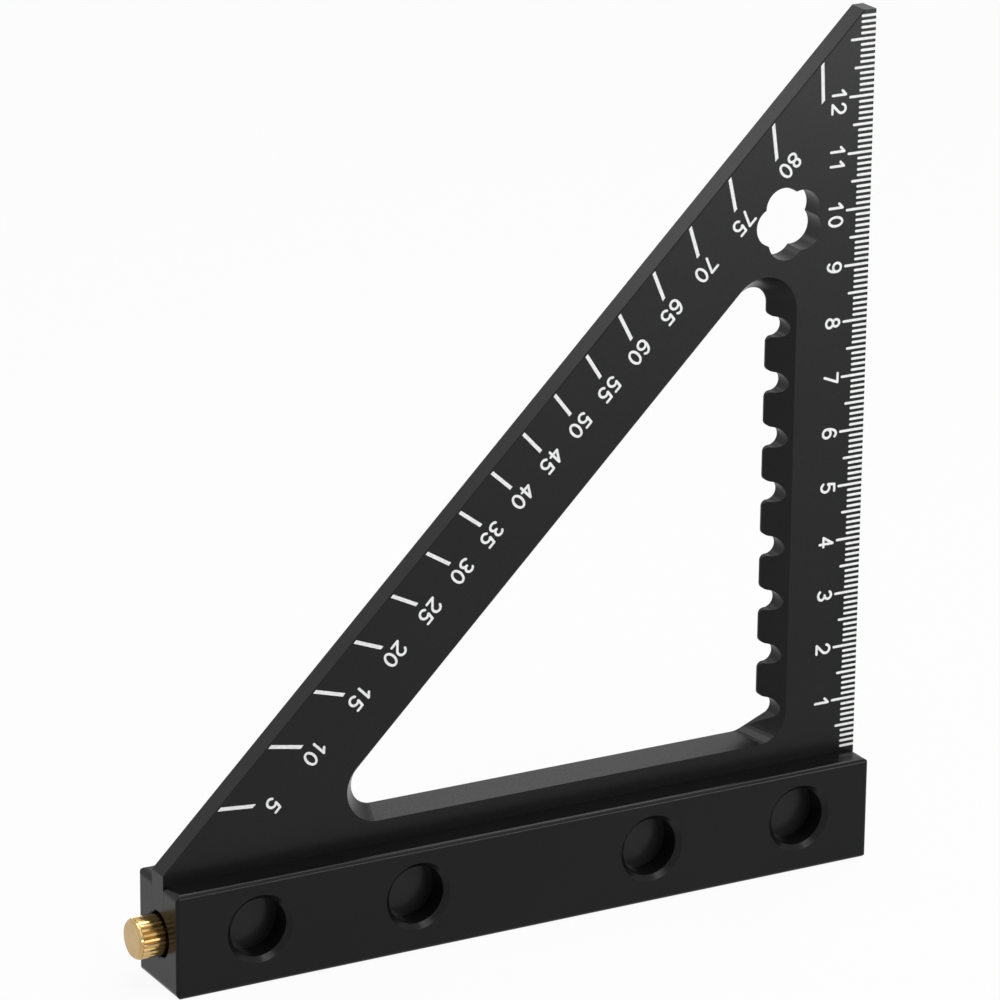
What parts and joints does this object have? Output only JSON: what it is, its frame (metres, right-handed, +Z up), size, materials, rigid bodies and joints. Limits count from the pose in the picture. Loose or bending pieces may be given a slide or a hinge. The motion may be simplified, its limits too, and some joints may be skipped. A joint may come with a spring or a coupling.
{
  "type": "rafter square",
  "caption": "Triangular 45 degree marking square on a fence bar, with a millimetre scale edge, degree marks, a bevelled window with pencil notches, and a scriber stored in the bar's end.",
  "frame": {"origin": "centre of the bar's bottom face, on which the square stands", "axes": "+X along the bar towards the scale edge, +Y from the marked front face to the back, +Z up along the scale edge"},
  "size_m": [0.1405, 0.0148, 0.1539],
  "materials": {
    "anodised_plate": "satin black anodised",
    "anodised_bar": "satin black anodised",
    "screw_steel": "black oxide",
    "brass_head": "machined and knurled",
    "needle_steel": "ground",
    "bush_brass": "turned",
    "white_marks": "matt white filling of the engraved marks and numbers"
  },
  "bodies": {
    "square": {"plate": "anodised_plate", "bar": "anodised_bar", "bar_screws": "screw_steel", "scriber_bush": "bush_brass"},
    "scriber": {"scriber_head": "brass_head", "scriber_needle": "needle_steel"}
  },
  "joints": [
    {"name": "scriber_slide", "type": "slide", "parent": "square", "child": "scriber", "axis": [-1, 0, 0], "range_m": [0, 0.024]}
  ]
}
